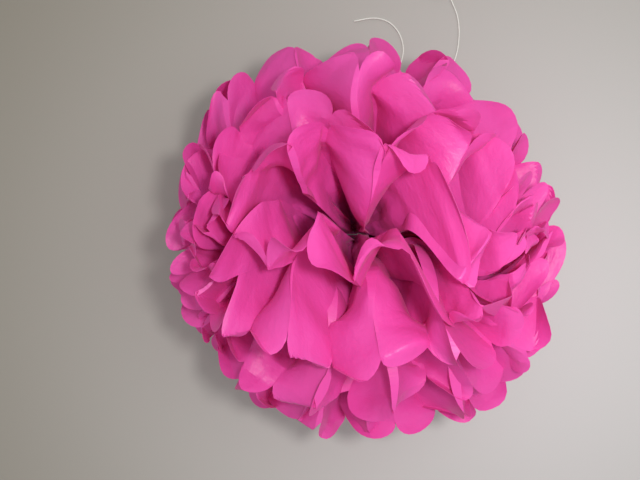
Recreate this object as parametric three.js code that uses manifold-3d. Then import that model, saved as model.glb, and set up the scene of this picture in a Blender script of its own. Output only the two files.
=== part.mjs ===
// A tissue paper pom pom: ten sheets of tissue, pleated together like a concertina, trimmed to round
// lobes at both ends, bound round the middle with a wire, and opened out sheet by sheet into a ball. A
// string is knotted on beside the wire; its short tail and its long tail run out under the petals.
//
// Millimetres, +Z up. The origin is on the surface that the ball rests on, under its middle. The pleats
// are stacked along X, so each sheet has one fan of petals towards +Y and one towards -Y, and the cleft
// between them runs along X.

import * as THREE from "three";
import { mergeVertices } from "three/addons/utils/BufferGeometryUtils.js";
import Module from "manifold-3d";

const wasm = await Module();
wasm.setup();

const rad = THREE.MathUtils.degToRad;
const { lerp, smoothstep } = THREE.MathUtils;

// The paper
const SHEETS = 10; // counted from the underside up
const SHEET_WIDTH = 500; // across the pleats
const SHEET_LENGTH = 320; // along the pleats, from lobe tip to lobe tip
const PANELS = 15; // between fold lines
const PAPER_THICK = 0.6; // the solid's; the paper itself is 0.04
const GATHER_THICK = 1.1; // where the pleats are packed under the wire

// The ball
const TIE_HEIGHT = 95; // of the middle of the gather
const STEEPEST = 82; // rise of the top sheet's fans as they leave the gather, degrees
const STEEPNESS_POWER = 0.9; // how the sheets below share that rise out
const FAN_HALF = 88; // half the angle that a fan opens to, degrees
const POLE_SPREAD = 32; // how far the outermost sheets part at the ends of the cleft, degrees
const BEND_FROM = [30, 28, 28, 50, 70, 80, 85, 85, 85, 90]; // along a fold line, where petals start to flop
const BEND_TO = [140, 134, 138, 148, 155, 155, 155, 155, 155, 158]; // and where they have flopped
const TIP_RISE = [-8, 2, 2, -6, -20, -14, -6, 8, 26, 46]; // rise at the tips, one for each sheet, degrees
const PLEAT_RISE_LIMIT = 0.14; // of the distance from the gather, near which the pleats are squeezed flat
const ROWS = [0, 14, 42, 80, 114]; // where a fold line has its corners, besides the root of the lobes
const LOBE_TURNS = [45, 90, 135]; // the corners of a lobe's half circle, degrees
const MERIDIAN_STEPS = 40;
const LEAST_Y = 0.8; // between the fans and the plane of the cleft
const CLOSE_SHARE = 0.5; // of the gather's half length, that a fan closes up by as it leaves the gather
const CLOSE_FROM = 5; // along a fold line
const CLOSE_TO = 90;

// The gather, where every sheet passes through the wire
const GATHER_PITCH = 1.6; // from sheet to sheet
const GATHER_RADIUS = 8.6;
const GATHER_HALF = 4; // half its length at the outermost sheets
const TURN_STAGGER = 1.6; // each sheet further in turns this much later

// The petals pressed on the surface
const FLOOR_STEP = 2; // a sheet higher lies this much higher
const TUNNEL_LIFT = 4.5; // how far the string holds the paper up
const TUNNEL_X = 18;
const TUNNEL_WIDTH = 16;

// The wire and the string
const WIRE_RADIUS = 0.45;
const WIRE_Y = -1.5;
const WIRE_TAIL = 11; // the twisted ends
const WIRE_TWIST = 5 * Math.PI;
const WIRE_ARM = 0.7 * WIRE_RADIUS; // of each end from the middle of the twist
const STRING_RADIUS = 0.6;
const STRING_Y = 1.4;
const KNOT_RADIUS = 1.9;
const KNOT_SINK = 0.9; // from the middle of the loop's string to the middle of the knot
const FIT_GAP = 0.3; // between pieces that touch

const PANEL = SHEET_WIDTH / PANELS;
const LOBE_DEPTH = PANEL / 2; // a lobe's end is a half circle
const PANEL_ANGLE = rad(2 * FAN_HALF) / PANELS;

const colours = { tissue: 0xe2449c, wire: 0xb9bcc0, string: 0xe9e7e0 };
const tissue = new THREE.MeshStandardMaterial({ color: colours.tissue, roughness: 0.55, metalness: 0 });
const wireSteel = new THREE.MeshStandardMaterial({ color: colours.wire, roughness: 0.3, metalness: 1 });
const nylon = new THREE.MeshStandardMaterial({ color: colours.string, roughness: 0.4, metalness: 0 });

// ---------------------------------------------------------------- the shape of a sheet

// Rank: -1 for the lowest sheet, +1 for the top one.
function rankOf(sheet) {
  return (2 * sheet) / (SHEETS - 1) - 1;
}

// The line that a sheet's fans follow in the plane x = 0: how far out and how far up, at a distance along
// the paper.
function meridian(sheet, along) {
  const rank = rankOf(sheet);
  const start = rad(Math.sign(rank) * Math.abs(rank) ** STEEPNESS_POWER * STEEPEST);
  const end = rad(TIP_RISE[sheet]);
  let out = 0;
  let up = 0;
  let rise = start;
  for (let k = 0; k < MERIDIAN_STEPS; k++) {
    const middle = ((k + 0.5) / MERIDIAN_STEPS) * along;
    rise = lerp(start, end, smoothstep(middle, BEND_FROM[sheet], BEND_TO[sheet]));
    out += (Math.cos(rise) * along) / MERIDIAN_STEPS;
    up += (Math.sin(rise) * along) / MERIDIAN_STEPS;
  }
  return { out, up, rise };
}

// How far the pleats stand off the middle of the sheet, at a distance along the paper.
function pleatHeight(along, angle) {
  const spread = Math.min(PANEL, along * PANEL_ANGLE);
  const folded = Math.sqrt(PANEL ** 2 - spread ** 2) / 2;
  return Math.min(folded, PLEAT_RISE_LIMIT * along) * Math.cos(angle);
}

// +1 on the mountain folds, -1 on the valley folds, straight in between.
function zigzag(across) {
  const panel = Math.floor(across);
  const share = across - panel;
  return (panel % 2 ? -1 : 1) * (1 - 2 * share);
}

// How high the paper lies where it meets the surface. The string lifts it over its own path.
function floorLevel(sheet, x, y) {
  const offString = (x - TUNNEL_X) / TUNNEL_WIDTH;
  const lift = y > 0 ? TUNNEL_LIFT * Math.max(0, 1 - offString ** 2) : 0;
  return PAPER_THICK / 2 + sheet * FLOOR_STEP + lift;
}

// Half the length of the gather at a sheet: the outermost sheets turn first.
function gatherHalf(sheet) {
  const depth = Math.min(sheet, SHEETS - 1 - sheet);
  return GATHER_HALF + depth * TURN_STAGGER;
}

// Half the width of the gather at a sheet, so that the sheets fill a round bundle.
function gatherWidth(sheet) {
  const off = (sheet - (SHEETS - 1) / 2) * GATHER_PITCH;
  return Math.sqrt(GATHER_RADIUS ** 2 - off ** 2);
}

// A point in the middle of the paper: across in panels, along from the gather's edge, side +1 or -1. It
// is pressed where the surface holds it up.
function sheetPoint(sheet, side, across, along) {
  const { out, up, rise } = meridian(sheet, along);
  const angle = rad(lerp(-FAN_HALF, FAN_HALF, across / PANELS));
  const [cosine, sine] = [Math.cos(angle), Math.sin(angle)];
  const tilt = rad(POLE_SPREAD) * rankOf(sheet) * Math.abs(sine) ** 3;
  const swell = Math.sqrt(1 + (2 * cosine * Math.abs(sine) * Math.sin(tilt) * up) / Math.max(along, 1));
  const off = zigzag(across) * pleatHeight(along, angle);
  const start = gatherHalf(sheet) * (1 - CLOSE_SHARE * smoothstep(along, CLOSE_FROM, CLOSE_TO));
  const x = gatherWidth(sheet) * lerp(-1, 1, across / PANELS) + (along * sine * Math.cos(tilt)) / swell;
  const y = start + (out * cosine) / swell - off * Math.sin(rise);
  const z =
    TIE_HEIGHT +
    (sheet - (SHEETS - 1) / 2) * GATHER_PITCH +
    (up * cosine + along * Math.abs(sine) * Math.sin(tilt)) / swell +
    off * Math.cos(rise);
  const level = floorLevel(sheet, x, y);
  const point = new THREE.Vector3(x, side * Math.max(y, LEAST_Y), Math.max(z, level));
  return { point, pressed: z <= level };
}

// ---------------------------------------------------------------- a sheet as a closed solid

// The middle surface of a sheet, or of its fan on one side of the wire: its points, the thickness at
// each, which ones are pressed, and its triangles.
function middleSurface(sheet, sides = [-1, 1]) {
  const reach = SHEET_LENGTH / 2 - gatherHalf(sheet);
  const root = reach - LOBE_DEPTH; // of the notch between two lobes
  const rows = [...ROWS, root];
  const points = [];
  const thick = [];
  const pressed = [];
  const triangles = [];
  const add = (side, across, along) => {
    const place = sheetPoint(sheet, side, across, along);
    points.push(place.point);
    pressed.push(place.pressed);
    thick.push(lerp(GATHER_THICK, PAPER_THICK, smoothstep(along, 0, ROWS[2])));
    return points.length - 1;
  };
  const grid = {};
  for (const side of sides) {
    grid[side] = rows.map((along) =>
      Array.from({ length: PANELS + 1 }, (_, fold) => add(side, fold, along)),
    );
  }
  const neckEnd = (row, side) =>
    row.map((id) => {
      points.push(points[id].clone().setY((side * FIT_GAP) / 2));
      pressed.push(false);
      return thick.push(GATHER_THICK) - 1;
    });
  const quad = (a, b, c, d) => triangles.push([a, b, c], [a, c, d]);
  const face = (side, ...corners) => quad(...(side > 0 ? corners : corners.reverse()));
  if (sides.length === 1) grid[-sides[0]] = [neckEnd(grid[sides[0]][0], sides[0])];
  for (let panel = 0; panel < PANELS; panel++) {
    quad(grid[-1][0][panel], grid[-1][0][panel + 1], grid[1][0][panel + 1], grid[1][0][panel]);
    for (const side of sides) {
      for (let row = 0; row + 1 < rows.length; row++) {
        const [near, far] = [grid[side][row], grid[side][row + 1]];
        face(side, near[panel], near[panel + 1], far[panel + 1], far[panel]);
      }
      const [left, right] = [grid[side].at(-1)[panel], grid[side].at(-1)[panel + 1]];
      const arc = LOBE_TURNS.map((turn) => {
        const across = panel + 0.5 - 0.5 * Math.cos(rad(turn));
        const along = root + LOBE_DEPTH * Math.sin(rad(turn));
        return add(side, across, along);
      });
      face(side, left, right, arc[2], arc[0]);
      triangles.push(side > 0 ? [arc[0], arc[2], arc[1]] : [arc[1], arc[2], arc[0]]);
    }
  }
  return { points, thick, pressed, triangles };
}

// The closed solid with the surface in its middle: a skin each side of it and a rim between them. The
// skins of a pressed point lie straight above and below it, so the paper is flat where it lies on the
// surface.
function thicken({ points, thick, pressed, triangles }) {
  const normals = points.map(() => new THREE.Vector3());
  for (const [a, b, c] of triangles) {
    const ab = points[b].clone().sub(points[a]);
    const normal = ab.cross(points[c].clone().sub(points[a])).normalize();
    for (const corner of [a, b, c]) normals[corner].add(normal);
  }
  normals.forEach((normal, k) => {
    if (pressed[k]) normal.set(0, 0, Math.sign(normal.z));
    normal.normalize();
  });
  const count = points.length;
  const positions = [];
  for (const way of [1, -1]) {
    points.forEach((point, k) => {
      const skin = point.clone().addScaledVector(normals[k], (way * thick[k]) / 2);
      positions.push(skin.x, skin.y, skin.z);
    });
  }
  const index = [];
  const edges = new Map();
  for (const [a, b, c] of triangles) {
    index.push(a, b, c, count + c, count + b, count + a);
    for (const [from, to] of [[a, b], [b, c], [c, a]]) edges.set(`${from},${to}`, [from, to]);
  }
  for (const [from, to] of edges.values()) {
    if (edges.has(`${to},${from}`)) continue;
    index.push(from, count + from, to, to, count + from, count + to);
  }
  const geometry = new THREE.BufferGeometry();
  geometry.setAttribute("position", new THREE.Float32BufferAttribute(positions, 3));
  geometry.setIndex(index);
  return geometry;
}

// ---------------------------------------------------------------- joining and sweeping

function solidOf(geometry) {
  const bare = geometry.clone();
  bare.deleteAttribute("normal");
  bare.deleteAttribute("uv");
  const merged = mergeVertices(bare, 1e-4);
  const mesh = new wasm.Mesh({
    numProp: 3,
    vertProperties: new Float32Array(merged.attributes.position.array),
    triVerts: new Uint32Array(merged.index.array),
  });
  return new wasm.Manifold(mesh);
}

function geometryOf(solid) {
  const mesh = solid.getMesh();
  const geometry = new THREE.BufferGeometry();
  geometry.setAttribute("position", new THREE.BufferAttribute(mesh.vertProperties, mesh.numProp));
  geometry.setIndex(new THREE.BufferAttribute(mesh.triVerts, 1));
  return geometry;
}

function joined(...geometries) {
  return geometryOf(geometries.map(solidOf).reduce((sum, solid) => sum.add(solid)));
}

// A round tube along a curve, closed at both ends.
function tube(curve, radius, steps, sides = 8) {
  const section = new THREE.Shape();
  for (let k = 0; k < sides; k++) {
    const turn = (k / sides) * 2 * Math.PI;
    const [u, v] = [radius * Math.cos(turn), radius * Math.sin(turn)];
    if (k === 0) section.moveTo(u, v);
    else section.lineTo(u, v);
  }
  section.closePath();
  return new THREE.ExtrudeGeometry(section, { steps, extrudePath: curve, bevelEnabled: false });
}

// A loop round the gather, across the pleats.
function loop(radius, wire, y) {
  const ring = new THREE.TorusGeometry(radius, wire, 6, 24);
  ring.rotateX(Math.PI / 2);
  ring.translate(0, y, TIE_HEIGHT);
  return ring;
}

// ---------------------------------------------------------------- the wire and the string

function wireTie() {
  const radius = GATHER_RADIUS + GATHER_THICK / 2 + FIT_GAP + WIRE_RADIUS;
  const foot = TIE_HEIGHT - radius;
  const strand = (turn) => {
    const twisted = new THREE.Curve();
    twisted.getPoint = (share) => {
      const turned = turn + share * WIRE_TWIST;
      const [x, y] = [WIRE_ARM * Math.cos(turned), WIRE_Y + WIRE_ARM * Math.sin(turned)];
      return new THREE.Vector3(x, y, foot - share * WIRE_TAIL);
    };
    return tube(twisted, WIRE_RADIUS, 16, 6);
  };
  return joined(loop(radius, WIRE_RADIUS, WIRE_Y), strand(0), strand(Math.PI));
}

const stringLoopRadius = GATHER_RADIUS + GATHER_THICK / 2 + FIT_GAP + STRING_RADIUS;
const knotCentre = new THREE.Vector3(0, STRING_Y, TIE_HEIGHT - stringLoopRadius - KNOT_SINK);

function stringKnot() {
  const knot = new THREE.IcosahedronGeometry(KNOT_RADIUS, 1);
  knot.translate(...knotCentre);
  return joined(loop(stringLoopRadius, STRING_RADIUS, STRING_Y), knot);
}

// The two tails, from the knot down the cleft, along the surface under the petals, and out past them.
const shortTailPath = [
  [0.9, 2.2, 81.7],
  [3, 3, 77],
  [5.5, 3.4, 66],
  [8, 3.2, 52],
  [10.5, 3.5, 37],
  [12.6, 6, 22],
  [14.3, 13, 9.5],
  [15.6, 24, 3],
  [16.2, 38, 1.1],
  [16.4, 60, 0.7],
  [17, 85, 0.7],
  [21, 108, 0.7],
  [31, 131, 0.7],
  [42, 149, 0.7],
  [47.2, 164, 0.7],
  [46.8, 176, 0.7],
  [42, 187, 0.7],
  [33, 195, 0.7],
  [20, 197.8, 0.7],
  [3, 195, 0.7],
];
const longTailPath = [
  [1.2, 0.6, 81.7],
  [4.4, 0.7, 77],
  [8, 0.6, 66],
  [11.4, 0.6, 52],
  [14.5, 1.4, 37],
  [17, 4, 23],
  [18.8, 11, 10.5],
  [19.8, 22, 3.6],
  [20.2, 36, 1.2],
  [20.4, 60, 0.7],
  [22, 84, 0.7],
  [30, 106, 0.7],
  [50, 123, 0.7],
  [73, 136, 0.7],
  [88, 148, 0.7],
  [95.5, 164, 0.7],
  [98.2, 182, 0.7],
  [96.8, 199, 0.7],
  [91.5, 213.4, 0.7],
  [87.5, 219.6, 0.7],
];

const COIL_CENTRE = new THREE.Vector2(81.4, 228);
const COIL_INNER = 4.9;
const COIL_OUTER = 10;
const COIL_HEIGHT = 5.2;
const COIL_CORNER = 1.2; // cut off its edges

function tail(path, steps) {
  const curve = new THREE.CatmullRomCurve3(path.map((point) => new THREE.Vector3(...point)));
  return tube(curve, STRING_RADIUS, steps);
}

function coil() {
  const [inner, outer, top] = [COIL_INNER + COIL_CORNER, COIL_OUTER - COIL_CORNER, COIL_HEIGHT - COIL_CORNER];
  const profile = [
    [inner, 0],
    [outer, 0],
    [COIL_OUTER, COIL_CORNER],
    [COIL_OUTER, top],
    [outer, COIL_HEIGHT],
    [inner, COIL_HEIGHT],
    [COIL_INNER, top],
    [COIL_INNER, COIL_CORNER],
    [inner, 0],
  ].map(([radius, height]) => new THREE.Vector2(radius, height));
  const ring = new THREE.LatheGeometry(profile, 24);
  ring.rotateX(Math.PI / 2);
  ring.translate(COIL_CENTRE.x, COIL_CENTRE.y, 0);
  return ring;
}

// ---------------------------------------------------------------- the object

const pompom = new THREE.Group();

function place(name, geometry, material) {
  const mesh = new THREE.Mesh(geometry, material);
  mesh.name = name;
  pompom.add(mesh);
}

// The lowest sheet is one sheet too, in two solids that part under the wire, one on each side of the
// lower cleft.
place("tissue_sheet_01_front", thicken(middleSurface(0, [-1])), tissue);
place("tissue_sheet_01_back", thicken(middleSurface(0, [1])), tissue);
for (let sheet = 1; sheet < SHEETS; sheet++) {
  const name = `tissue_sheet_${String(sheet + 1).padStart(2, "0")}`;
  place(name, thicken(middleSurface(sheet)), tissue);
}
place("wire_tie", wireTie(), wireSteel);
place("string_knot", stringKnot(), nylon);
place("string_short_tail", tail(shortTailPath, 44), nylon);
place("string_long_tail", tail(longTailPath, 48), nylon);
place("string_coil", coil(), nylon);

export default pompom;
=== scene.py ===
"""A tissue paper pom pom: ten pleated sheets with round lobes, the wire round their middle, the string."""

import math

import bpy
import numpy as np
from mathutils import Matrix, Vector


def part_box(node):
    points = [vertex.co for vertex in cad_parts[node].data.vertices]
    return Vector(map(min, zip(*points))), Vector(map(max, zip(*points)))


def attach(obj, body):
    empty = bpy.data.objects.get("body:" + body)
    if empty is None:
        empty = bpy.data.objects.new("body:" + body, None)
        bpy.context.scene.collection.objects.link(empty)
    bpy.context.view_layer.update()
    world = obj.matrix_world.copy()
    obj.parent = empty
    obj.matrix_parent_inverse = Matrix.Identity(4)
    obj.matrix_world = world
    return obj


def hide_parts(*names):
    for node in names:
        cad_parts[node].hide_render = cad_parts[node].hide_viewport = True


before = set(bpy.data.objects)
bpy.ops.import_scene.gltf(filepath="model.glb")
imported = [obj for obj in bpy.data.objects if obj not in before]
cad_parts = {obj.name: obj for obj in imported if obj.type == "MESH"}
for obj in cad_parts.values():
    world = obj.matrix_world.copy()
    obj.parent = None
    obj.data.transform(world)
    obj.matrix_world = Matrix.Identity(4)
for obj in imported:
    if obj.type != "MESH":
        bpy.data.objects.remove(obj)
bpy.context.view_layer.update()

bl_info = {
    "name": "Tissue Paper Pom Pom",
    "version": (1, 0, 0),
    "blender": (4, 5, 0),
    "location": "View3D > Sidebar > Pom Pom",
    "description": "Builds a pleated tissue paper pom pom with its tie wire and hanging string",
    "category": "Object",
}

MM = 0.001
SHEETS = len({name[:15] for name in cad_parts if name.startswith("tissue_sheet_")})
SIDES = (-1, 1)


# ------------------------------------------------------------------ settings


class PomPomPaper(bpy.types.PropertyGroup):
    """Sizes and colours of the paper."""

    width: bpy.props.FloatProperty(
        name="Sheet width", description="Across the pleats", default=0.5, unit="LENGTH"
    )
    length: bpy.props.FloatProperty(
        name="Sheet length", description="Along the pleats, from tip to tip", default=0.32, unit="LENGTH"
    )
    panels: bpy.props.IntProperty(name="Panels", description="Between fold lines", default=15)
    thickness: bpy.props.FloatProperty(
        name="Thickness", description="Of the paper as it is drawn", default=0.00016, unit="LENGTH"
    )
    colour: bpy.props.FloatVectorProperty(
        name="Paper", description="Colour of the tissue", subtype="COLOR", default=(0.9, 0.11, 0.54)
    )
    deep: bpy.props.FloatVectorProperty(
        name="Dye blotches", description="Where dye is thicker", subtype="COLOR", default=(0.86, 0.07, 0.46)
    )
    through: bpy.props.FloatVectorProperty(
        name="Light through", description="Colour of light through the tissue", subtype="COLOR",
        default=(1.0, 0.04, 0.45)
    )
    seed: bpy.props.IntProperty(name="Seed", description="Of the way the petals were opened", default=7)


class PomPomTies(bpy.types.PropertyGroup):
    """Sizes and colours of the wire and the string."""

    string_diameter: bpy.props.FloatProperty(
        name="String", description="Diameter of the string", default=0.0012, unit="LENGTH"
    )
    wire_diameter: bpy.props.FloatProperty(
        name="Wire", description="Diameter of the tie wire", default=0.0009, unit="LENGTH"
    )
    string_colour: bpy.props.FloatVectorProperty(
        name="String colour", description="Colour of the string", subtype="COLOR", default=(0.78, 0.77, 0.72)
    )
    wire_colour: bpy.props.FloatVectorProperty(
        name="Wire colour", description="Colour of the wire", subtype="COLOR", default=(0.62, 0.63, 0.65)
    )


class PomPomStage(bpy.types.PropertyGroup):
    """The camera, the floor and the light."""

    camera_height: bpy.props.FloatProperty(
        name="Camera height", description="Above the floor", default=0.8, unit="LENGTH"
    )
    view_width: bpy.props.FloatProperty(
        name="View width", description="That the camera sees at the floor", default=0.5805, unit="LENGTH"
    )
    floor_colour: bpy.props.FloatVectorProperty(
        name="Floor", description="Colour of the floor", subtype="COLOR", default=(0.54, 0.525, 0.52)
    )
    # painted shade: the colour the floor darkens to away from where the flash falls brightest
    painted_shade_colour: bpy.props.FloatVectorProperty(
        name="Painted floor shade", description="Colour of its far side", subtype="COLOR", default=(0.27, 0.245, 0.195)
    )


GROUPS = {"pompom_paper": PomPomPaper, "pompom_ties": PomPomTies, "pompom_stage": PomPomStage}


# ------------------------------------------------------------------ materials


def add_node(tree, kind, place=(0, 0), **values):
    """A node with its fields and its inputs set by name."""
    node = tree.nodes.new(kind)
    node.location = place
    for key, value in values.items():
        if hasattr(node, key):
            setattr(node, key, value)
        else:
            node.inputs[key.replace("_", " ")].default_value = value
    return node


def node_group(name, inputs, outputs):
    """An empty shader node group with named sockets, and its two end nodes."""
    tree = bpy.data.node_groups.new(name, "ShaderNodeTree")
    for direction, sockets in (("INPUT", inputs), ("OUTPUT", outputs)):
        for socket, kind, value in sockets:
            made = tree.interface.new_socket(name=socket, in_out=direction, socket_type=kind)
            if value is not None:
                made.default_value = value
    return tree, tree.nodes.new("NodeGroupInput"), tree.nodes.new("NodeGroupOutput")


def new_material(name):
    """A material with only its output and a Principled shader."""
    material = bpy.data.materials.new(name)
    material.use_nodes = True
    tree = material.node_tree
    return material, tree, tree.nodes["Principled BSDF"]


def place_group(tree, group, **values):
    node = tree.nodes.new("ShaderNodeGroup")
    node.node_tree = group
    for key, value in values.items():
        node.inputs[key.replace("_", " ")].default_value = value
    return node


def mottle_group():
    """Two colours in soft uneven patches: dye in paper, wear on wire, lint on string."""
    if "Mottle" in bpy.data.node_groups:
        return bpy.data.node_groups["Mottle"]
    tree, start, end = node_group(
        "Mottle",
        [
            ("Colour", "NodeSocketColor", None),
            ("Patch Colour", "NodeSocketColor", None),
            ("Scale", "NodeSocketFloat", 20.0),
            ("Amount", "NodeSocketFloat", 0.5),
        ],
        [("Colour", "NodeSocketColor", None), ("Mask", "NodeSocketFloat", None)],
    )
    link = tree.links.new
    place = add_node(tree, "ShaderNodeTexCoord")
    broad = add_node(tree, "ShaderNodeTexNoise", Detail=5.0, Roughness=0.6)
    ramp = add_node(tree, "ShaderNodeMapRange")
    ramp.inputs["From Min"].default_value = 0.35
    ramp.inputs["From Max"].default_value = 0.7
    share = add_node(tree, "ShaderNodeMath", operation="MULTIPLY")
    mix = add_node(tree, "ShaderNodeMix", data_type="RGBA")
    link(place.outputs["Object"], broad.inputs["Vector"])
    link(start.outputs["Scale"], broad.inputs["Scale"])
    link(broad.outputs["Fac"], ramp.inputs["Value"])
    link(ramp.outputs["Result"], share.inputs[0])
    link(start.outputs["Amount"], share.inputs[1])
    link(share.outputs[0], mix.inputs["Factor"])
    link(start.outputs["Colour"], mix.inputs["A"])
    link(start.outputs["Patch Colour"], mix.inputs["B"])
    link(mix.outputs["Result"], end.inputs["Colour"])
    link(ramp.outputs["Result"], end.inputs["Mask"])
    return tree


def crumple_group():
    """The height of fine crumples: creases round small facets, over a soft cockle, with a fibre grain."""
    tree, start, end = node_group(
        "Crumple",
        [
            ("Vector", "NodeSocketVector", None),
            ("Crease Scale", "NodeSocketFloat", 60.0),
            ("Grain Scale", "NodeSocketFloat", 900.0),
            ("Grain", "NodeSocketFloat", 0.1),
        ],
        [("Height", "NodeSocketFloat", None)],
    )
    link = tree.links.new
    warp = add_node(tree, "ShaderNodeTexNoise", Scale=25.0, Detail=2.0)
    shift = add_node(tree, "ShaderNodeVectorMath", operation="MULTIPLY_ADD")
    shift.inputs[1].default_value = (0.035, 0.035, 0.035)
    facets = add_node(tree, "ShaderNodeTexVoronoi", feature="F1", distance="MANHATTAN")
    finer = add_node(tree, "ShaderNodeTexNoise", Detail=4.0, Roughness=0.55, Distortion=1.2)
    grain = add_node(tree, "ShaderNodeTexNoise", Detail=3.0, Roughness=0.6)
    twice = add_node(tree, "ShaderNodeMath", operation="MULTIPLY")
    twice.inputs[1].default_value = 2.2
    both = add_node(tree, "ShaderNodeMath", operation="ADD")
    grained = add_node(tree, "ShaderNodeMath", operation="MULTIPLY_ADD")
    link(start.outputs["Vector"], warp.inputs["Vector"])
    link(warp.outputs["Color"], shift.inputs[0])
    link(start.outputs["Vector"], shift.inputs[2])
    link(shift.outputs[0], facets.inputs["Vector"])
    link(start.outputs["Crease Scale"], facets.inputs["Scale"])
    link(start.outputs["Crease Scale"], twice.inputs[0])
    link(twice.outputs[0], finer.inputs["Scale"])
    link(shift.outputs[0], finer.inputs["Vector"])
    link(start.outputs["Vector"], grain.inputs["Vector"])
    link(start.outputs["Grain Scale"], grain.inputs["Scale"])
    link(facets.outputs["Distance"], both.inputs[0])
    link(finer.outputs["Fac"], both.inputs[1])
    link(grain.outputs["Fac"], grained.inputs[0])
    link(start.outputs["Grain"], grained.inputs[1])
    link(both.outputs[0], grained.inputs[2])
    link(grained.outputs[0], end.inputs["Height"])
    return tree


def tissue_material(settings):
    """Thin dyed tissue with a slight glaze: light comes through it, and its crumples catch the light."""
    material, tree, shader = new_material("hot_pink_tissue")
    link = tree.links.new
    shader.inputs["Roughness"].default_value = 0.42
    shader.inputs["Specular IOR Level"].default_value = 0.45
    shader.inputs["Sheen Weight"].default_value = 0.12
    shader.inputs["Sheen Roughness"].default_value = 0.4
    shader.inputs["Sheen Tint"].default_value = (1, 0.6, 0.9, 1)
    dye = place_group(
        tree,
        mottle_group(),
        Colour=(*settings.colour, 1),
        Patch_Colour=(*settings.deep, 1),
        Scale=22.0,
        Amount=0.55,
    )
    flat = add_node(tree, "ShaderNodeUVMap", uv_map="paper")
    crumple = place_group(tree, crumple_group(), Crease_Scale=7.0, Grain_Scale=300.0, Grain=0.03)
    bump = add_node(tree, "ShaderNodeBump", Strength=0.24, Distance=0.0022)
    through = add_node(tree, "ShaderNodeBsdfTranslucent")
    through.inputs["Color"].default_value = (*settings.through, 1)
    mix = add_node(tree, "ShaderNodeMixShader", Fac=0.34)
    link(flat.outputs["UV"], crumple.inputs["Vector"])
    link(crumple.outputs["Height"], bump.inputs["Height"])
    link(bump.outputs["Normal"], shader.inputs["Normal"])
    link(dye.outputs["Colour"], shader.inputs["Base Color"])
    link(shader.outputs["BSDF"], mix.inputs[1])
    link(through.outputs["BSDF"], mix.inputs[2])
    link(mix.outputs["Shader"], tree.nodes["Material Output"].inputs["Surface"])
    return material


def string_material(settings):
    """Smooth white twine: a fine twist and a little lint."""
    material, tree, shader = new_material("white_twine")
    link = tree.links.new
    shader.inputs["Roughness"].default_value = 0.5
    shader.inputs["Sheen Weight"].default_value = 0.3
    colour = tuple(settings.string_colour)
    lint = place_group(
        tree,
        mottle_group(),
        Colour=(*colour, 1),
        Patch_Colour=(*(0.8 * c for c in colour), 1),
        Scale=300.0,
        Amount=0.5,
    )
    place = add_node(tree, "ShaderNodeTexCoord")
    twist = add_node(tree, "ShaderNodeTexWave", Scale=260.0, Distortion=1.5, bands_direction="DIAGONAL")
    bump = add_node(tree, "ShaderNodeBump", Strength=0.5, Distance=0.0001)
    link(place.outputs["Object"], twist.inputs["Vector"])
    link(twist.outputs["Fac"], bump.inputs["Height"])
    link(bump.outputs["Normal"], shader.inputs["Normal"])
    link(lint.outputs["Colour"], shader.inputs["Base Color"])
    return material


def wire_material(settings):
    """Bright drawn wire with dull patches."""
    material, tree, shader = new_material("drawn_wire")
    link = tree.links.new
    shader.inputs["Metallic"].default_value = 1.0
    colour = tuple(settings.wire_colour)
    dull = place_group(
        tree,
        mottle_group(),
        Colour=(*colour, 1),
        Patch_Colour=(*(0.6 * c for c in colour), 1),
        Scale=400.0,
        Amount=0.6,
    )
    rough = add_node(tree, "ShaderNodeMapRange")
    rough.inputs["To Min"].default_value = 0.16
    rough.inputs["To Max"].default_value = 0.4
    link(dull.outputs["Colour"], shader.inputs["Base Color"])
    link(dull.outputs["Mask"], rough.inputs["Value"])
    link(rough.outputs["Result"], shader.inputs["Roughness"])
    return material


def painted_falloff_group():
    """Painted shade: a colour that darkens away from the lit place on the floor, standing in for the falloff
    of the light.
    """
    tree, start, end = node_group(
        "Painted Falloff",
        [
            ("Colour", "NodeSocketColor", None),
            ("Aged Colour", "NodeSocketColor", None),
            ("Place", "NodeSocketVector", None),
            ("Reach", "NodeSocketFloat", 0.6),
        ],
        [("Colour", "NodeSocketColor", None)],
    )
    link = tree.links.new
    here = add_node(tree, "ShaderNodeNewGeometry")
    away = add_node(tree, "ShaderNodeVectorMath", operation="DISTANCE")
    ramp = add_node(tree, "ShaderNodeMapRange", interpolation_type="SMOOTHSTEP")
    mix = add_node(tree, "ShaderNodeMix", data_type="RGBA")
    link(here.outputs["Position"], away.inputs[0])
    link(start.outputs["Place"], away.inputs[1])
    link(away.outputs["Value"], ramp.inputs["Value"])
    link(start.outputs["Reach"], ramp.inputs["From Max"])
    link(ramp.outputs["Result"], mix.inputs["Factor"])
    link(start.outputs["Colour"], mix.inputs["A"])
    link(start.outputs["Aged Colour"], mix.inputs["B"])
    link(mix.outputs["Result"], end.inputs["Colour"])
    return tree


def floor_material(settings):
    """Pale paper board with painted shade: darker and yellower towards its far corner, away from where the
    light falls brightest.
    """
    material, tree, shader = new_material("pale_board")
    shader.inputs["Roughness"].default_value = 0.75
    # painted shade: the board's colour darkens and yellows with distance from the place where the flash falls
    # brightest
    board = place_group(
        tree,
        painted_falloff_group(),
        Colour=(*settings.floor_colour, 1),
        Aged_Colour=(*settings.painted_shade_colour, 1),
        Place=(0.2, -0.1, 0),
        Reach=0.74,
    )
    tree.links.new(board.outputs["Colour"], shader.inputs["Base Color"])
    return material


# ------------------------------------------------------------------ the camera, the floor and the light


def area_light(name, place, target, size, power, colour, spread):
    light = bpy.data.lights.new(name, "AREA")
    light.spread = math.radians(spread)
    light.shape = "DISK"
    light.size = size
    light.energy = power
    light.color = colour
    lamp = bpy.data.objects.new(name, light)
    lamp.location = place
    lamp.rotation_euler = (Vector(target) - Vector(place)).to_track_quat("-Z", "Y").to_euler()
    bpy.context.scene.collection.objects.link(lamp)


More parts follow.
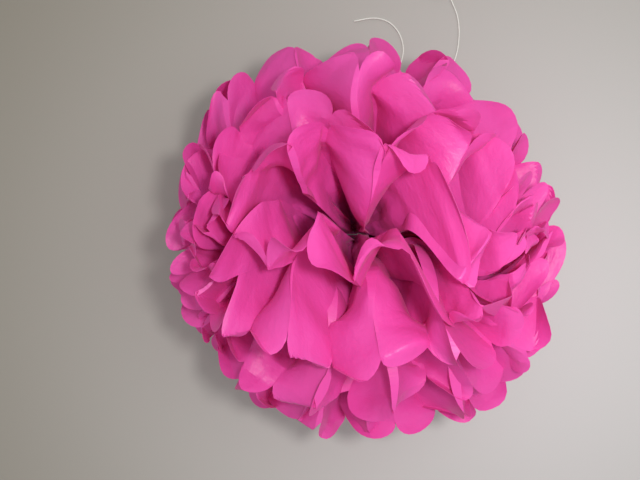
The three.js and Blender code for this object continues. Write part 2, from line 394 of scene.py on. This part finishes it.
class POMPOM_OT_stage(bpy.types.Operator):
    """Adds the camera, the floor and the light"""

    bl_idname = "pompom.stage"
    bl_label = "Stage"

    def execute(self, context):
        settings = context.scene.pompom_stage
        scene = context.scene
        camera_data = bpy.data.cameras.new("camera")
        camera_data.sensor_width = 36
        camera_data.lens = 36 * settings.camera_height / settings.view_width
        camera = bpy.data.objects.new("camera", camera_data)
        camera.location = (-0.0278, -0.0032, settings.camera_height)
        scene.collection.objects.link(camera)
        scene.camera = camera

        bpy.ops.mesh.primitive_plane_add(size=6)
        floor = context.object
        floor.name = "floor"
        floor.location = (0, 0, -0.0002)
        floor.data.materials.append(floor_material(settings))

        area_light(
            "flash", (0.12, 0.04, 0.95), (0.14, -0.03, 0),
            size=0.1, power=0.98, colour=(1, 0.985, 0.965), spread=88,
        )
        area_light("fill", (0.4, 0.1, 1.3), (0.1, 0, 0), size=0.9, power=1.1, colour=(1, 1, 1), spread=110)
        world = bpy.data.worlds.new("studio")
        world.use_nodes = True
        world.node_tree.nodes["Background"].inputs["Color"].default_value = (1, 1, 1, 1)
        world.node_tree.nodes["Background"].inputs["Strength"].default_value = 0.62
        scene.world = world
        scene.view_settings.view_transform = "Standard"
        return {"FINISHED"}


# ------------------------------------------------------------------ the string


SHORT_TAIL = [
    (0.9, 2.2, 81.7), (3, 3, 77), (5.5, 3.4, 66), (8, 3.2, 52), (10.5, 3.5, 37), (12.6, 6, 22),
    (14.3, 13, 9.5), (15.6, 24, 3), (16.2, 38, 1.1), (16.4, 60, 0.7), (17, 85, 0.7), (21, 108, 0.7),
    (31, 131, 0.7), (42, 149, 0.7), (47.2, 164, 0.7), (46.8, 176, 0.7), (42, 187, 0.7), (33, 195, 0.7),
    (20, 197.8, 0.7), (3, 195, 0.7),
]
LONG_TAIL = [
    (1.2, 0.6, 81.7), (4.4, 0.7, 77), (8, 0.6, 66), (11.4, 0.6, 52), (14.5, 1.4, 37), (17, 4, 23),
    (18.8, 11, 10.5), (19.8, 22, 3.6), (20.2, 36, 1.2), (20.4, 60, 0.7), (22, 84, 0.7), (30, 106, 0.7),
    (50, 123, 0.7), (73, 136, 0.7), (88, 148, 0.7), (95.5, 164, 0.7), (98.2, 182, 0.7), (96.8, 199, 0.7),
    (91.5, 213.4, 0.7), (87.5, 219.6, 0.7),
]


def smooth_line(points, step=1.2):
    """Points along a smooth curve through the given ones, about a step apart."""
    points = np.array(points, float)
    ends = np.vstack([2 * points[0] - points[1], points, 2 * points[-1] - points[-2]])
    line = []
    for before, start, stop, after in zip(ends, ends[1:], ends[2:], ends[3:]):
        count = max(2, int(np.linalg.norm(stop - start) / step))
        t = np.linspace(0, 1, count, endpoint=False)[:, None]
        line.append(
            0.5
            * (
                2 * start
                + (stop - before) * t
                + (2 * before - 5 * start + 4 * stop - after) * t**2
                + (3 * start - before - 3 * stop + after) * t**3
            )
        )
    return np.vstack([*line, points[-1:]])


def coil_turns(diameter):
    """The put-away coil's turns, in rings beside and on each other, from the outside at the bottom."""
    low, high = (np.array(corner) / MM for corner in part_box("string_coil"))
    centre = (low + high) / 2
    outer = (high[0] - low[0]) / 2 - 0.5 * diameter
    columns, rows = 4, 4
    turn_steps = 24
    pitch = 1.08 * diameter
    start_angle = -1.0
    line = []
    for row in range(rows):
        for turn in range(columns):
            step = turn if row % 2 == 0 else columns - 1 - turn
            radius = outer - step * pitch
            for k in range(turn_steps):
                share = k / turn_steps
                onward = (1 if row % 2 == 0 else -1) * share * (turn < columns - 1)
                rise = share * (turn == columns - 1)
                angle = start_angle - 2 * math.pi * (row * columns + turn + share)
                reach = radius - onward * pitch
                line.append(
                    (
                        centre[0] + reach * math.cos(angle),
                        centre[1] + reach * math.sin(angle),
                        0.5 * diameter + 0.05 + (row + rise) * pitch * 0.97,
                    )
                )
    return np.array(line)


def cord_curve(name, line, diameter, material):
    """A round cord along a line of points in millimetres."""
    curve = bpy.data.curves.new(name, "CURVE")
    curve.dimensions = "3D"
    curve.bevel_depth = diameter * MM / 2
    curve.bevel_resolution = 3
    curve.use_fill_caps = True
    spline = curve.splines.new("POLY")
    spline.points.add(len(line) - 1)
    spline.points.foreach_set("co", np.column_stack([line * MM, np.ones(len(line))]).ravel())
    cord = bpy.data.objects.new(name, curve)
    cord.data.materials.append(material)
    bpy.context.scene.collection.objects.link(cord)
    return cord


class POMPOM_OT_string(bpy.types.Operator):
    """Adds the two tails of the string, with the coil on the long one"""

    bl_idname = "pompom.string"
    bl_label = "String"

    def execute(self, context):
        settings = context.scene.pompom_ties
        diameter = settings.string_diameter / MM
        material = string_material(settings)
        short = smooth_line(SHORT_TAIL)
        coil = coil_turns(diameter)
        long = np.vstack([smooth_line(LONG_TAIL[:-1]), coil])
        for name, line, nodes in (
            ("short_tail", short, ["string_short_tail"]),
            ("long_tail", long, ["string_long_tail", "string_coil"]),
        ):
            cord = cord_curve(name, line, diameter, material)
            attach(cord, "root")
            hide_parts(*nodes)
        return {"FINISHED"}


# ------------------------------------------------------------------ the wire and the knot


def ring_line(radius, place_y, centre_z, turns=1.0, advance=0.0, start=0.0):
    """A loop round the gather, which advances along Y as it goes round."""
    steps = int(48 * turns)
    share = np.arange(steps + 1) / steps
    angle = start + 2 * math.pi * turns * share
    return np.column_stack(
        [
            radius * np.sin(angle),
            place_y + advance * (share - 0.5),
            centre_z - radius * np.cos(angle),
        ]
    )


class POMPOM_OT_ties(bpy.types.Operator):
    """Adds the tie wire and the string's loop and knot"""

    bl_idname = "pompom.ties"
    bl_label = "Wire and knot"

    def execute(self, context):
        settings = context.scene.pompom_ties
        self.wire(settings)
        self.knot(settings)
        return {"FINISHED"}

    def wire(self, settings):
        low, high = (np.array(corner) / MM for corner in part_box("wire_tie"))
        diameter = settings.wire_diameter / MM
        radius = (high[0] - low[0]) / 2 - diameter / 2
        centre_z = high[2] - radius - diameter / 2
        place_y = (low[1] + high[1]) / 2
        loop = ring_line(radius, place_y, centre_z)
        foot = centre_z - radius
        tail = foot - low[2] - diameter / 2
        share = np.linspace(0, 1, 60)[:, None]
        half_twists = 5
        turned = half_twists * math.pi * share
        arm = 0.55 * diameter
        strands = [
            np.hstack(
                [
                    arm * np.cos(turned + phase),
                    place_y + arm * np.sin(turned + phase),
                    foot - share * tail * reach,
                ]
            )
            for phase, reach in ((0, 0.82), (math.pi, 1.0))
        ]
        line = np.vstack([strands[0][::-1], loop[1:-1], strands[1]])
        wire = cord_curve("tie_wire", line, diameter, wire_material(settings))
        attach(wire, "root")
        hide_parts("wire_tie")

    def knot(self, settings):
        low, high = (np.array(corner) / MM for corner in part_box("string_knot"))
        diameter = settings.string_diameter / MM
        radius = (high[0] - low[0]) / 2 - diameter / 2
        centre_z = high[2] - radius - diameter / 2
        loop = ring_line(radius, (low[1] + high[1]) / 2, centre_z, start=0.12)[:-2]
        place = np.array([0, (low[1] + high[1]) / 2, centre_z - radius - 1])
        turn = np.linspace(0, 2 * math.pi, 90)
        size = 0.62  # of the trefoil that the knot's tangle follows
        tangle = place + size * np.column_stack(
            [
                np.sin(turn) + 2 * np.sin(2 * turn),
                np.cos(turn) - 2 * np.cos(2 * turn),
                -1.3 * np.sin(3 * turn),
            ]
        )
        line = np.vstack([loop, tangle])
        knot = cord_curve("string_loop", line, diameter, bpy.data.materials["white_twine"])
        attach(knot, "root")
        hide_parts("string_knot")


# ------------------------------------------------------------------ how a sheet lies

# Millimetres. The lists hold one number for each sheet, from the lowest up.
TIE_HEIGHT = 95.0
STEEPEST = math.radians(82)  # how steeply the top sheet leaves the gather, and the lowest goes down
STEEPNESS_POWER = 0.9  # how the sheets between share that out
FAN_HALF = math.radians(88)  # half the angle that a fan spreads over
POLE_SPREAD = math.radians(32)  # how far the outer sheets part at the ends of the cleft
# Petals flop over between these distances along the paper, until their tips rise this much.
BEND_FROM = [30, 30, 30, 50, 70, 80, 85, 85, 85, 90]
BEND_TO = [112, 122, 136, 148, 155, 155, 155, 155, 155, 158]
TIP_RISE = np.radians([-4, 0, 0, -8, -20, -16, -10, 2, 18, 40])
PLEAT_RISE_LIMIT = 0.36  # how fast pleats may deepen along the paper
GATHER_PITCH = 1.6  # between sheets under the wire
GATHER_RADIUS = 8.6
GATHER_HALF = 4.0  # from the middle to where the outer sheets turn
TURN_STAGGER = 1.6  # how much further on each inner sheet turns
FLOOR_STEP = 1.6  # between sheets that lie on each other on the floor
LEAST_Y, CLOSE_Y = 0.7, 3.0  # how near the middle of the cleft fold lines come, and where they start to slow
TUNNEL_X, TUNNEL_WIDTH, TUNNEL_LIFT = 18.0, 16.0, 4.5  # where the paper rides over the string

# How unevenly a ball is opened and handled.
SHARED_FLOP, OWN_FLOP, MORE_FLOP = 12, 22, 1.6  # degrees; the last is for each sheet further up
SHARED_WIDTHS, OWN_WIDTHS = 0.32, 0.5  # of the gaps between fold lines, as shares
WIDEST_GAP = 0.985  # as a share of a panel
TIP_PLEATS, UNEVEN_PLEATS = 0.9, 0.6  # how much deeper pleats are towards the tips, as shares
LEAN, SWING = 9, np.radians(5)
CUP, TIP_CURL, CURL_LENGTH = 1.1, 5.0, 26
SOFT_FOLD, SOFTER_FOLD = 0.03, 0.05  # how round a fold is at the gather, and what the tips add
DOG_EARS, TOP_DOG_EARS = 0.5, 0.8  # the share of petals with one
DOG_EAR_SLANT, DOG_EAR_RADIUS = 0.55, 1.6
SWELL, CRIMP = 1.1, 3.2  # the height of soft waves, and of the crumples beside the gather
CREASES, CREASE_SLOPE = 220, 0.3

ALONG_STEP = 1.0  # of the tables that hold the fold lines
COLUMNS = 12  # across a panel
ROWS = 48  # along a fan
LOBE_ROWS = 8
NECK_ROWS = 4


def smoothstep(value, low, high):
    share = np.clip((value - low) / (high - low), 0, 1)
    return share * share * (3 - 2 * share)


def field(rng, x, y, cells_x, cells_y):
    """Smooth random values from -1 to 1 at points x, y from 0 to 1, with that many swells each way."""
    lattice = rng.uniform(-1, 1, (cells_x + 3, cells_y + 3))
    x, y = np.broadcast_arrays(np.clip(x, 0, 1) * cells_x, np.clip(y, 0, 1) * cells_y)
    i, j = np.floor(x).astype(int), np.floor(y).astype(int)
    total = 0
    for a, weight_x in enumerate(spline_weights(x - i)):
        for b, weight_y in enumerate(spline_weights(y - j)):
            corner = lattice[np.minimum(i + a, cells_x + 2), np.minimum(j + b, cells_y + 2)]
            total = total + weight_x * weight_y * corner
    return 1.8 * total


def spline_weights(t):
    return (
        (1 - t) ** 3 / 6,
        (3 * t**3 - 6 * t**2 + 4) / 6,
        (-3 * t**3 + 3 * t**2 + 3 * t + 1) / 6,
        t**3 / 6,
    )


def fill_out(gaps, widest):
    """Gaps between fold lines kept under the widest one, with what that takes away given to the others."""
    whole = gaps.sum(axis=0)
    for _ in range(4):
        gaps = np.minimum(gaps, widest)
        room = widest - gaps
        gaps = gaps + room * np.clip((whole - gaps.sum(axis=0)) / np.maximum(room.sum(axis=0), 1e-6), 0, 1)
    return gaps


def gather_half(sheet):
    return GATHER_HALF + min(sheet, SHEETS - 1 - sheet) * TURN_STAGGER


def gather_width(sheet):
    return math.sqrt(GATHER_RADIUS**2 - ((sheet - (SHEETS - 1) / 2) * GATHER_PITCH) ** 2)


class HalfSheet:
    """One fan of a sheet: where its fold lines run, and how each petal between them is shaped."""

    def __init__(self, sheet, side, panels, panel, half_length, seed):
        self.sheet, self.side, self.panels, self.panel = sheet, side, panels, panel
        self.reach = half_length - gather_half(sheet)
        self.root = self.reach - panel / 2
        own = np.random.default_rng([seed, sheet, side + 1])
        shared = np.random.default_rng([seed, 99, side + 1])
        self.rng = own
        along = np.arange(0, half_length + ALONG_STEP, ALONG_STEP)
        self.along = along
        fold = np.arange(panels + 1)[:, None]
        x, y = fold / panels, along[None, :] / half_length

        rank = (sheet - (SHEETS - 1) / 2) / ((SHEETS - 1) / 2)
        start = math.copysign(abs(rank) ** STEEPNESS_POWER, rank) * STEEPEST
        rise = start + (TIP_RISE[sheet] - start) * smoothstep(along, BEND_FROM[sheet], BEND_TO[sheet])
        loose = smoothstep(along, 35, 130)
        rise = rise + np.radians(SHARED_FLOP) * loose * field(shared, x, y, 5, 2)
        rise = rise + np.radians(OWN_FLOP + MORE_FLOP * sheet) * loose * field(own, x, y, 10, 2)
        rise = np.clip(rise, np.radians(-87), np.radians(87))
        out = np.cumsum(np.cos(rise), axis=1) * ALONG_STEP
        up = np.cumsum(np.sin(rise), axis=1) * ALONG_STEP

        widths = 1 + SHARED_WIDTHS * shared.uniform(-1, 1, (panels, 1))
        widths = widths + OWN_WIDTHS * loose * own.uniform(-1, 1, (panels, 1))
        gap = fill_out(along * widths / widths.sum(axis=0) * 2 * FAN_HALF, WIDEST_GAP * panel)
        deep = np.minimum(np.sqrt(panel**2 - gap**2), 2 * (PLEAT_RISE_LIMIT * along + 0.25))
        deep = np.vstack([deep[:1], deep, deep[-1:]])
        size = 1 + 0.15 * field(shared, x, y, 9, 2)
        size = size + loose * (TIP_PLEATS + UNEVEN_PLEATS * field(own, x, y, 24, 3))
        lean = LEAN * loose * smoothstep(along, 50, 150) * field(own, x, y, 10, 2)
        off = np.where(fold % 2 == 0, 1, -1) * (deep[:-1] + deep[1:]) / 4 * size + lean

        arc = np.vstack([np.zeros((1, len(along))), np.cumsum(gap, axis=0)])
        arc = arc - arc[-1:] / 2
        swing = field(own, x * 0, y, 1, 2) + field(shared, x, y, 3, 1)
        swing = SWING * loose * swing * (1 - np.abs(2 * x - 1) ** 3)
        angle = arc / np.maximum(along, ALONG_STEP)[None, :] + swing
        angle = np.clip(angle, -FAN_HALF * 1.02, FAN_HALF * 1.02)
        near = smoothstep(along, 0, 12)
        angle = near * angle + (1 - near) * (2 * FAN_HALF * x - FAN_HALF)

        cosine, sine = np.cos(angle), np.sin(angle)
        tilt = POLE_SPREAD * rank * np.abs(sine) ** 3
        swell = np.sqrt(1 + 2 * cosine * np.abs(sine) * np.sin(tilt) * up / np.maximum(along, ALONG_STEP))
        centre = np.stack(
            [
                gather_width(sheet) * (2 * x - 1) + along * sine * np.cos(tilt) / swell,
                side * (gather_half(sheet) * (1 - 0.85 * smoothstep(along, 5, 90)) + out * cosine / swell),
                TIE_HEIGHT
                + (sheet - (SHEETS - 1) / 2) * GATHER_PITCH
                + (up * cosine + along * np.abs(sine) * np.sin(tilt)) / swell,
            ],
            axis=-1,
        )
        normal = np.stack([0 * rise, -side * np.sin(rise), np.cos(rise)], axis=-1)
        off = off * np.minimum(1, 1.6 * cosine + 0.15)
        self.folds = centre + off[..., None] * normal
        over = np.minimum(side * self.folds[..., 1] - LEAST_Y - CLOSE_Y, 0)
        near_y = LEAST_Y + CLOSE_Y * np.exp(over / CLOSE_Y)
        self.folds[..., 1] = side * np.where(over < 0, near_y, side * self.folds[..., 1])

    def fold_point(self, fold, along):
        """Points on fold lines, by straight lookup."""
        place = np.clip(along / ALONG_STEP, 0, len(self.along) - 1.001)
        low = place.astype(int)
        share = (place - low)[..., None]
        fold = np.clip(fold, 0, self.panels)
        return self.folds[fold, low] * (1 - share) + self.folds[fold, low + 1] * share

    def surface(self, across, along):
        """Points of the folded paper before its petals are shaped."""
        panel = np.clip(np.floor(across).astype(int), 0, self.panels - 1)
        t = (across - panel)[..., None]
        before, left, right, after = (self.fold_point(panel + k, along) for k in (-1, 0, 1, 2))
        straight = left + (right - left) * t
        curved = 0.5 * (
            2 * left
            + (right - before) * t
            + (2 * before - 5 * left + 4 * right - after) * t**2
            + (3 * left - before - 3 * right + after) * t**3
        )
        soft = (SOFT_FOLD + SOFTER_FOLD * smoothstep(along, 60, self.reach))[..., None]
        return straight + soft * (curved - straight)

    def frame_at(self, across, along):
        """Unit vectors across the panel, along it and square to it."""
        nudge = 0.02
        panel = np.clip(np.floor(across), 0, self.panels - 1)
        inside = np.clip(across, panel + nudge, panel + 1 - nudge)
        wide = self.surface(inside + nudge * 0.9, along) - self.surface(inside - nudge * 0.9, along)
        long = self.surface(inside, along + 1) - self.surface(inside, along - 1)
        square = self.side * np.cross(wide, long)
        sizes = (np.linalg.norm(v, axis=-1, keepdims=True) for v in (wide, long, square))
        return tuple(v / np.maximum(size, 1e-9) for v, size in zip((wide, long, square), sizes))

    def shaped(self, across, along):
        """Points of the paper with each petal cupped, curled, dog-eared and crumpled."""
        rng = self.rng
        points = self.surface(across, along)
        wide, long, square = self.frame_at(across, along)
        panel = np.clip(np.floor(across).astype(int), 0, self.panels - 1)
        t = across - panel
        bow = np.sin(math.pi * np.clip(t, 0, 1))

        cup = rng.normal(0, CUP, self.panels)[panel] * bow * smoothstep(along, 25, self.root)
        tips = rng.normal(0, TIP_CURL, self.panels)[panel]
        bent = np.clip((along - self.root + CURL_LENGTH) / (self.reach - self.root + CURL_LENGTH), 0, 1)
        curl = tips * bent**2 * bow**0.7
        points = points + (cup + curl)[..., None] * square - (0.35 * np.abs(curl) * bent)[..., None] * long

        top = self.sheet == SHEETS - 1
        kept = rng.uniform(0, 1, self.panels) < (TOP_DOG_EARS if top else DOG_EARS)
        slant = rng.uniform(-DOG_EAR_SLANT, DOG_EAR_SLANT, self.panels)
        start = self.root + self.panel / 2 * np.abs(np.tan(slant)) + rng.uniform(0.3, 4, self.panels)
        turn = rng.uniform(0.6, 2.1, self.panels) * (1 if top else rng.choice([-1, 1], self.panels))
        turn = np.where(kept, turn, 0.0)[panel]
        ahead_x, ahead_y = np.sin(slant)[panel], np.cos(slant)[panel]
        ahead = (t - 0.5) * self.panel * ahead_x + (along - start[panel]) * ahead_y
        size = np.abs(turn)
        arc = np.clip(ahead, 0, DOG_EAR_RADIUS * size)
        rest = np.maximum(ahead, 0) - arc
        onward = DOG_EAR_RADIUS * np.sin(arc / DOG_EAR_RADIUS) + rest * np.cos(size) - np.maximum(ahead, 0)
        lift = DOG_EAR_RADIUS * (1 - np.cos(arc / DOG_EAR_RADIUS)) + rest * np.sin(size)
        folding = (ahead > 0) & (size > 0)
        onward, lift = np.where(folding, onward, 0), np.where(folding, lift * np.sign(turn), 0)
        forward = ahead_x[..., None] * wide + ahead_y[..., None] * long
        points = points + onward[..., None] * forward + lift[..., None] * square

        x = across / self.panels
        y = along / self.along[-1]
        swell = SWELL * field(rng, x, y, 16, 4) * smoothstep(along, 30, 110)
        crimp = CRIMP * field(rng, x, y, 90, 4) * smoothstep(along, 2, 14) * (1 - smoothstep(along, 35, 105))
        points = points + (swell + crimp + self.creases(across, along))[..., None] * square
        return points

    def creases(self, across, along):
        """The height of sharp little creases in random directions, each dying out from its middle."""
        rng = self.rng
        x, y = across * self.panel, along
        total = np.zeros_like(x)
        for _ in range(CREASES):
            at = rng.uniform(0, self.panels * self.panel), rng.uniform(5, self.reach)
            way = rng.uniform(0, math.pi)
            size = rng.uniform(8, 26)
            slope = rng.uniform(-CREASE_SLOPE, CREASE_SLOPE)
            dx, dy = x - at[0], y - at[1]
            across_line = -dx * math.sin(way) + dy * math.cos(way)
            near = np.exp(-(dx**2 + dy**2) / size**2)
            total += slope * near * np.sqrt(across_line**2 + 0.25)
        return total


def warp(points):
    """A slow wave through the whole ball, so that its cleft wanders. It leaves the tie where it is."""
    x, y, z = points[:, 0], points[:, 1], points[:, 2]
    away = smoothstep(np.sqrt(x**2 + y**2 + (z - TIE_HEIGHT) ** 2), 15, 110)
    high = np.maximum(z - TIE_HEIGHT, 0) / 150
    lean = (8 + 20 * high) * np.sin(x / 36 + 2.4) + 9 * np.sin(x / 14 + z / 40)
    shift_y = lean * away * np.exp(-((y / 75) ** 2))
    shift_y = shift_y - 12 * smoothstep(-y, 20, 120) + 10 * smoothstep(y, 20, 120)
    shift_x = 6 * np.sin(y / 45 + 1.1 + z / 60) * away
    shift_x = shift_x + 5 * smoothstep(x, 40, 140) + 10 * smoothstep(-x, 40, 140)
    return points + np.column_stack([shift_x, shift_y, 0 * x])


def floor_level(sheet, points):
    x, y = points[:, 0], points[:, 1]
    lift = np.where(y > 0, TUNNEL_LIFT * np.maximum(0, 1 - ((x - TUNNEL_X) / TUNNEL_WIDTH) ** 2), 0)
    return 0.12 + sheet * FLOOR_STEP + lift


def middle_surface(sheet, paper):
    """The points, faces and flat places of the middle of a sheet."""
    panels = paper.panels
    panel = paper.width / MM / panels
    half_length = paper.length / MM / 2
    columns = panels * COLUMNS
    turns = np.arange(COLUMNS) / COLUMNS
    within = 0.5 * (1 - np.cos(math.pi * turns))
    across = np.append((np.arange(panels)[:, None] + within).ravel(), panels)

    points, flats, faces, ids = [], [], [], {}
    count = 0

    def add(new_points, new_flats):
        nonlocal count
        points.append(new_points.reshape(-1, 3))
        flats.append(new_flats.reshape(-1, 2))
        made = count + np.arange(new_points.size // 3).reshape(new_points.shape[:-1])
        count += made.size
        return made

    for side in SIDES:
        half = HalfSheet(sheet, side, panels, panel, half_length, paper.seed)
        along = half.root * (np.arange(ROWS + 1) / ROWS) ** 1.15
        grid_across, grid_along = np.meshgrid(across, along)
        lobe_turn = np.sin(math.pi * turns[1:])
        lobe_across = np.arange(panels)[:, None, None] + within[1:] + np.zeros((1, LOBE_ROWS, 1))
        lobe_share = np.arange(1, LOBE_ROWS + 1)[:, None] / LOBE_ROWS
        lobe_along = half.root + panel / 2 * lobe_turn * lobe_share + np.zeros_like(lobe_across)
        all_across = np.concatenate([grid_across.ravel(), lobe_across.ravel()])
        all_along = np.concatenate([grid_along.ravel(), lobe_along.ravel()])
        shaped = half.shaped(all_across, all_along)
        flat = np.column_stack([all_across * panel, side * (all_along + gather_half(sheet))])
        split = grid_across.size
        ids[side] = add(
            shaped[:split].reshape(*grid_across.shape, 3), flat[:split].reshape(*grid_across.shape, 2)
        )
        lobes = add(
            shaped[split:].reshape(*lobe_across.shape, 3), flat[split:].reshape(*lobe_across.shape, 2)
        )
        root_row = ids[side][-1]
        for k in range(panels):
            corner = root_row[k * COLUMNS : (k + 1) * COLUMNS + 1]
            rows = [np.concatenate([corner[:1], row, corner[-1:]]) for row in lobes[k]]
            add_strips(faces, np.array([corner, *rows]), side)
        add_strips(faces, ids[side], side)
    neck = [ids[-1][0]]
    start, stop = points[0][: columns + 1], points[2][: columns + 1]
    for row in range(1, NECK_ROWS):
        share = row / NECK_ROWS
        flat = flats[0][: columns + 1] * (1 - share) + flats[2][: columns + 1] * share
        neck.append(add(start * (1 - share) + stop * share, flat))
    neck.append(ids[1][0])
    add_strips(faces, np.array(neck), 1)
    points = warp(np.vstack(points))
    points[:, 2] = np.maximum(points[:, 2], floor_level(sheet, points))
    return points, np.vstack(faces), np.vstack(flats)


def add_strips(faces, grid, side):
    """Triangles between the rows of a grid of points, facing up for the side that runs with +Y."""
    a, b, c, d = grid[:-1, :-1], grid[:-1, 1:], grid[1:, 1:], grid[1:, :-1]
    for triangle in (np.stack([a, b, c], -1), np.stack([a, c, d], -1)):
        triangle = triangle.reshape(-1, 3)
        triangle = triangle[(triangle != np.roll(triangle, 1, axis=1)).all(axis=1)]
        faces.append(triangle if side > 0 else triangle[:, ::-1])


def two_skins(points, faces, thickness):
    """A closed solid: the surface moved half the thickness each way, with a rim between."""
    corners = points[faces]
    square = np.cross(corners[:, 1] - corners[:, 0], corners[:, 2] - corners[:, 0])
    square /= np.maximum(np.linalg.norm(square, axis=1, keepdims=True), 1e-12)
    normals = np.zeros_like(points)
    for corner in range(3):
        np.add.at(normals, faces[:, corner], square)
    normals /= np.maximum(np.linalg.norm(normals, axis=1, keepdims=True), 1e-12)
    count = len(points)
    skins = np.vstack([points + normals * thickness / 2, points - normals * thickness / 2])
    edges = np.vstack([faces[:, [0, 1]], faces[:, [1, 2]], faces[:, [2, 0]]])
    keys = edges.min(axis=1) * count + edges.max(axis=1)
    _, first, uses = np.unique(keys, return_index=True, return_counts=True)
    start, stop = edges[first[uses == 1]].T
    rim = np.vstack(
        [np.column_stack([start, start + count, stop]), np.column_stack([stop, start + count, stop + count])]
    )
    return skins, np.vstack([faces, faces[:, ::-1] + count, rim])


def mesh_piece(name, points, faces, flats, material):
    """A mesh object with a paper UV map, its points given in millimetres."""
    mesh = bpy.data.meshes.new(name)
    mesh.vertices.add(len(points))
    mesh.vertices.foreach_set("co", (points * MM).ravel())
    mesh.loops.add(faces.size)
    mesh.loops.foreach_set("vertex_index", faces.ravel().astype(np.int32))
    mesh.polygons.add(len(faces))
    mesh.polygons.foreach_set("loop_start", np.arange(0, faces.size, 3, dtype=np.int32))
    mesh.update(calc_edges=True)
    paper = mesh.uv_layers.new(name="paper")
    paper.data.foreach_set("uv", flats[faces.ravel()].astype(np.float32).ravel())
    mesh.polygons.foreach_set("use_smooth", np.ones(len(faces), bool))
    mesh.set_sharp_from_angle(angle=math.radians(24))
    mesh.materials.append(material)
    piece = bpy.data.objects.new(name, mesh)
    bpy.context.scene.collection.objects.link(piece)
    return piece


class POMPOM_OT_sheets(bpy.types.Operator):
    """Adds the ten pleated sheets of tissue"""

    bl_idname = "pompom.sheets"
    bl_label = "Tissue sheets"

    def execute(self, context):
        paper = context.scene.pompom_paper
        material = tissue_material(paper)
        for sheet in range(SHEETS):
            number = f"{sheet + 1:02d}"
            nodes = [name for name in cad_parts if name.startswith("tissue_sheet_" + number)]
            points, faces, flats = middle_surface(sheet, paper)
            points, faces = two_skins(points, faces, paper.thickness / MM)
            flats = np.vstack([flats, flats]) / 100 + 7.3 * sheet
            piece = mesh_piece("tissue_" + number, points, faces, flats, material)
            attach(piece, "root")
            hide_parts(*nodes)
        return {"FINISHED"}


# ------------------------------------------------------------------ the panel and the run


class POMPOM_PT_panel(bpy.types.Panel):
    """Lists the steps that build the pom pom"""

    bl_idname = "POMPOM_PT_panel"
    bl_label = "Tissue pom pom"
    bl_space_type = "VIEW_3D"
    bl_region_type = "UI"
    bl_category = "Pom Pom"

    def draw(self, context):
        for group in GROUPS:
            settings = getattr(context.scene, group)
            box = self.layout.box()
            for name in settings.__annotations__:
                box.prop(settings, name)
        for step in STEPS:
            self.layout.operator(step.bl_idname)


STEPS = (POMPOM_OT_stage, POMPOM_OT_string, POMPOM_OT_ties, POMPOM_OT_sheets)


def register():
    for group in GROUPS.values():
        bpy.utils.register_class(group)
    for name, group in GROUPS.items():
        setattr(bpy.types.Scene, name, bpy.props.PointerProperty(type=group))
    for step in (*STEPS, POMPOM_PT_panel):
        bpy.utils.register_class(step)


def unregister():
    for step in (*STEPS, POMPOM_PT_panel):
        bpy.utils.unregister_class(step)
    for name, group in GROUPS.items():
        delattr(bpy.types.Scene, name)
        bpy.utils.unregister_class(group)


def main():
    register()
    bpy.ops.pompom.stage()
    bpy.ops.pompom.string()
    bpy.ops.pompom.ties()
    bpy.ops.pompom.sheets()


if __name__ == "__main__":
    main()
